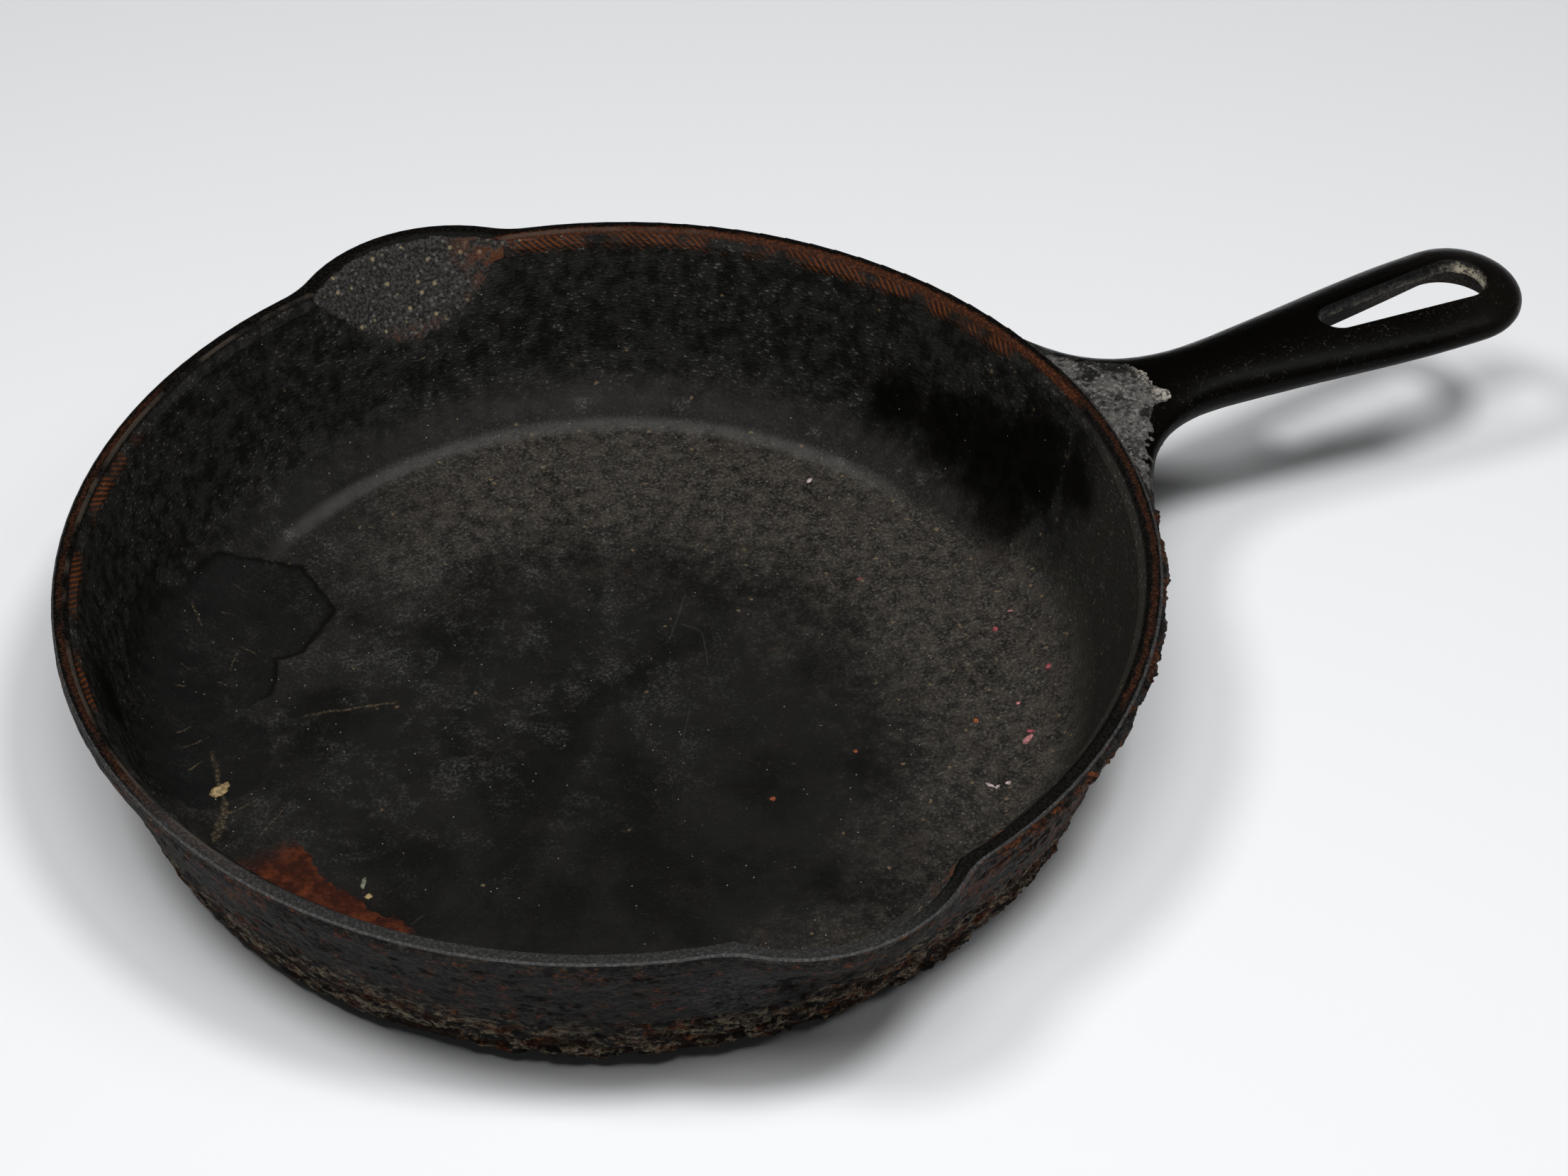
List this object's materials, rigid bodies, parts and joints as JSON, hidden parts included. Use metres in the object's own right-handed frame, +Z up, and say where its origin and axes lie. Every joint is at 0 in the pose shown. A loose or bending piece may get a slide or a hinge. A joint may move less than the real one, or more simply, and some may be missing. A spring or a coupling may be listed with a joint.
{
  "type": "skillet",
  "caption": "Round cast iron skillet with flared wall, flat floor, side pour lips and a hollow-backed handle with hanging eye, coated in old burnt-on crust",
  "frame": {"origin": "centre of the flat base, on the plane the skillet rests on, directly below the centre of the round rim", "axes": "+Z up through the open mouth, +X along the handle away from the pan, +Y toward the rear pour lip"},
  "size_m": [0.3947, 0.2852, 0.0527],
  "materials": {
    "seasoned_iron": "black seasoned iron, satin to glossy, smooth floor with fine scratches",
    "wall_crust": "matt flaky carbon crust with rust-orange and tan spots",
    "scoop_crust": "matt granular grey and tan deposit",
    "ash": "matt light grey ash deposit",
    "crumbs": "dry matt crumbs, yellow-tan"
  },
  "bodies": {
    "root": {"skillet_casting": "seasoned_iron", "outer_wall_crust": "wall_crust", "rear_lip_crust": "scoop_crust", "front_lip_crust": "scoop_crust", "handle_root_crust": "ash", "hanging_eye_crust": "ash", "floor_crumbs": "crumbs"}
  },
  "joints": []
}
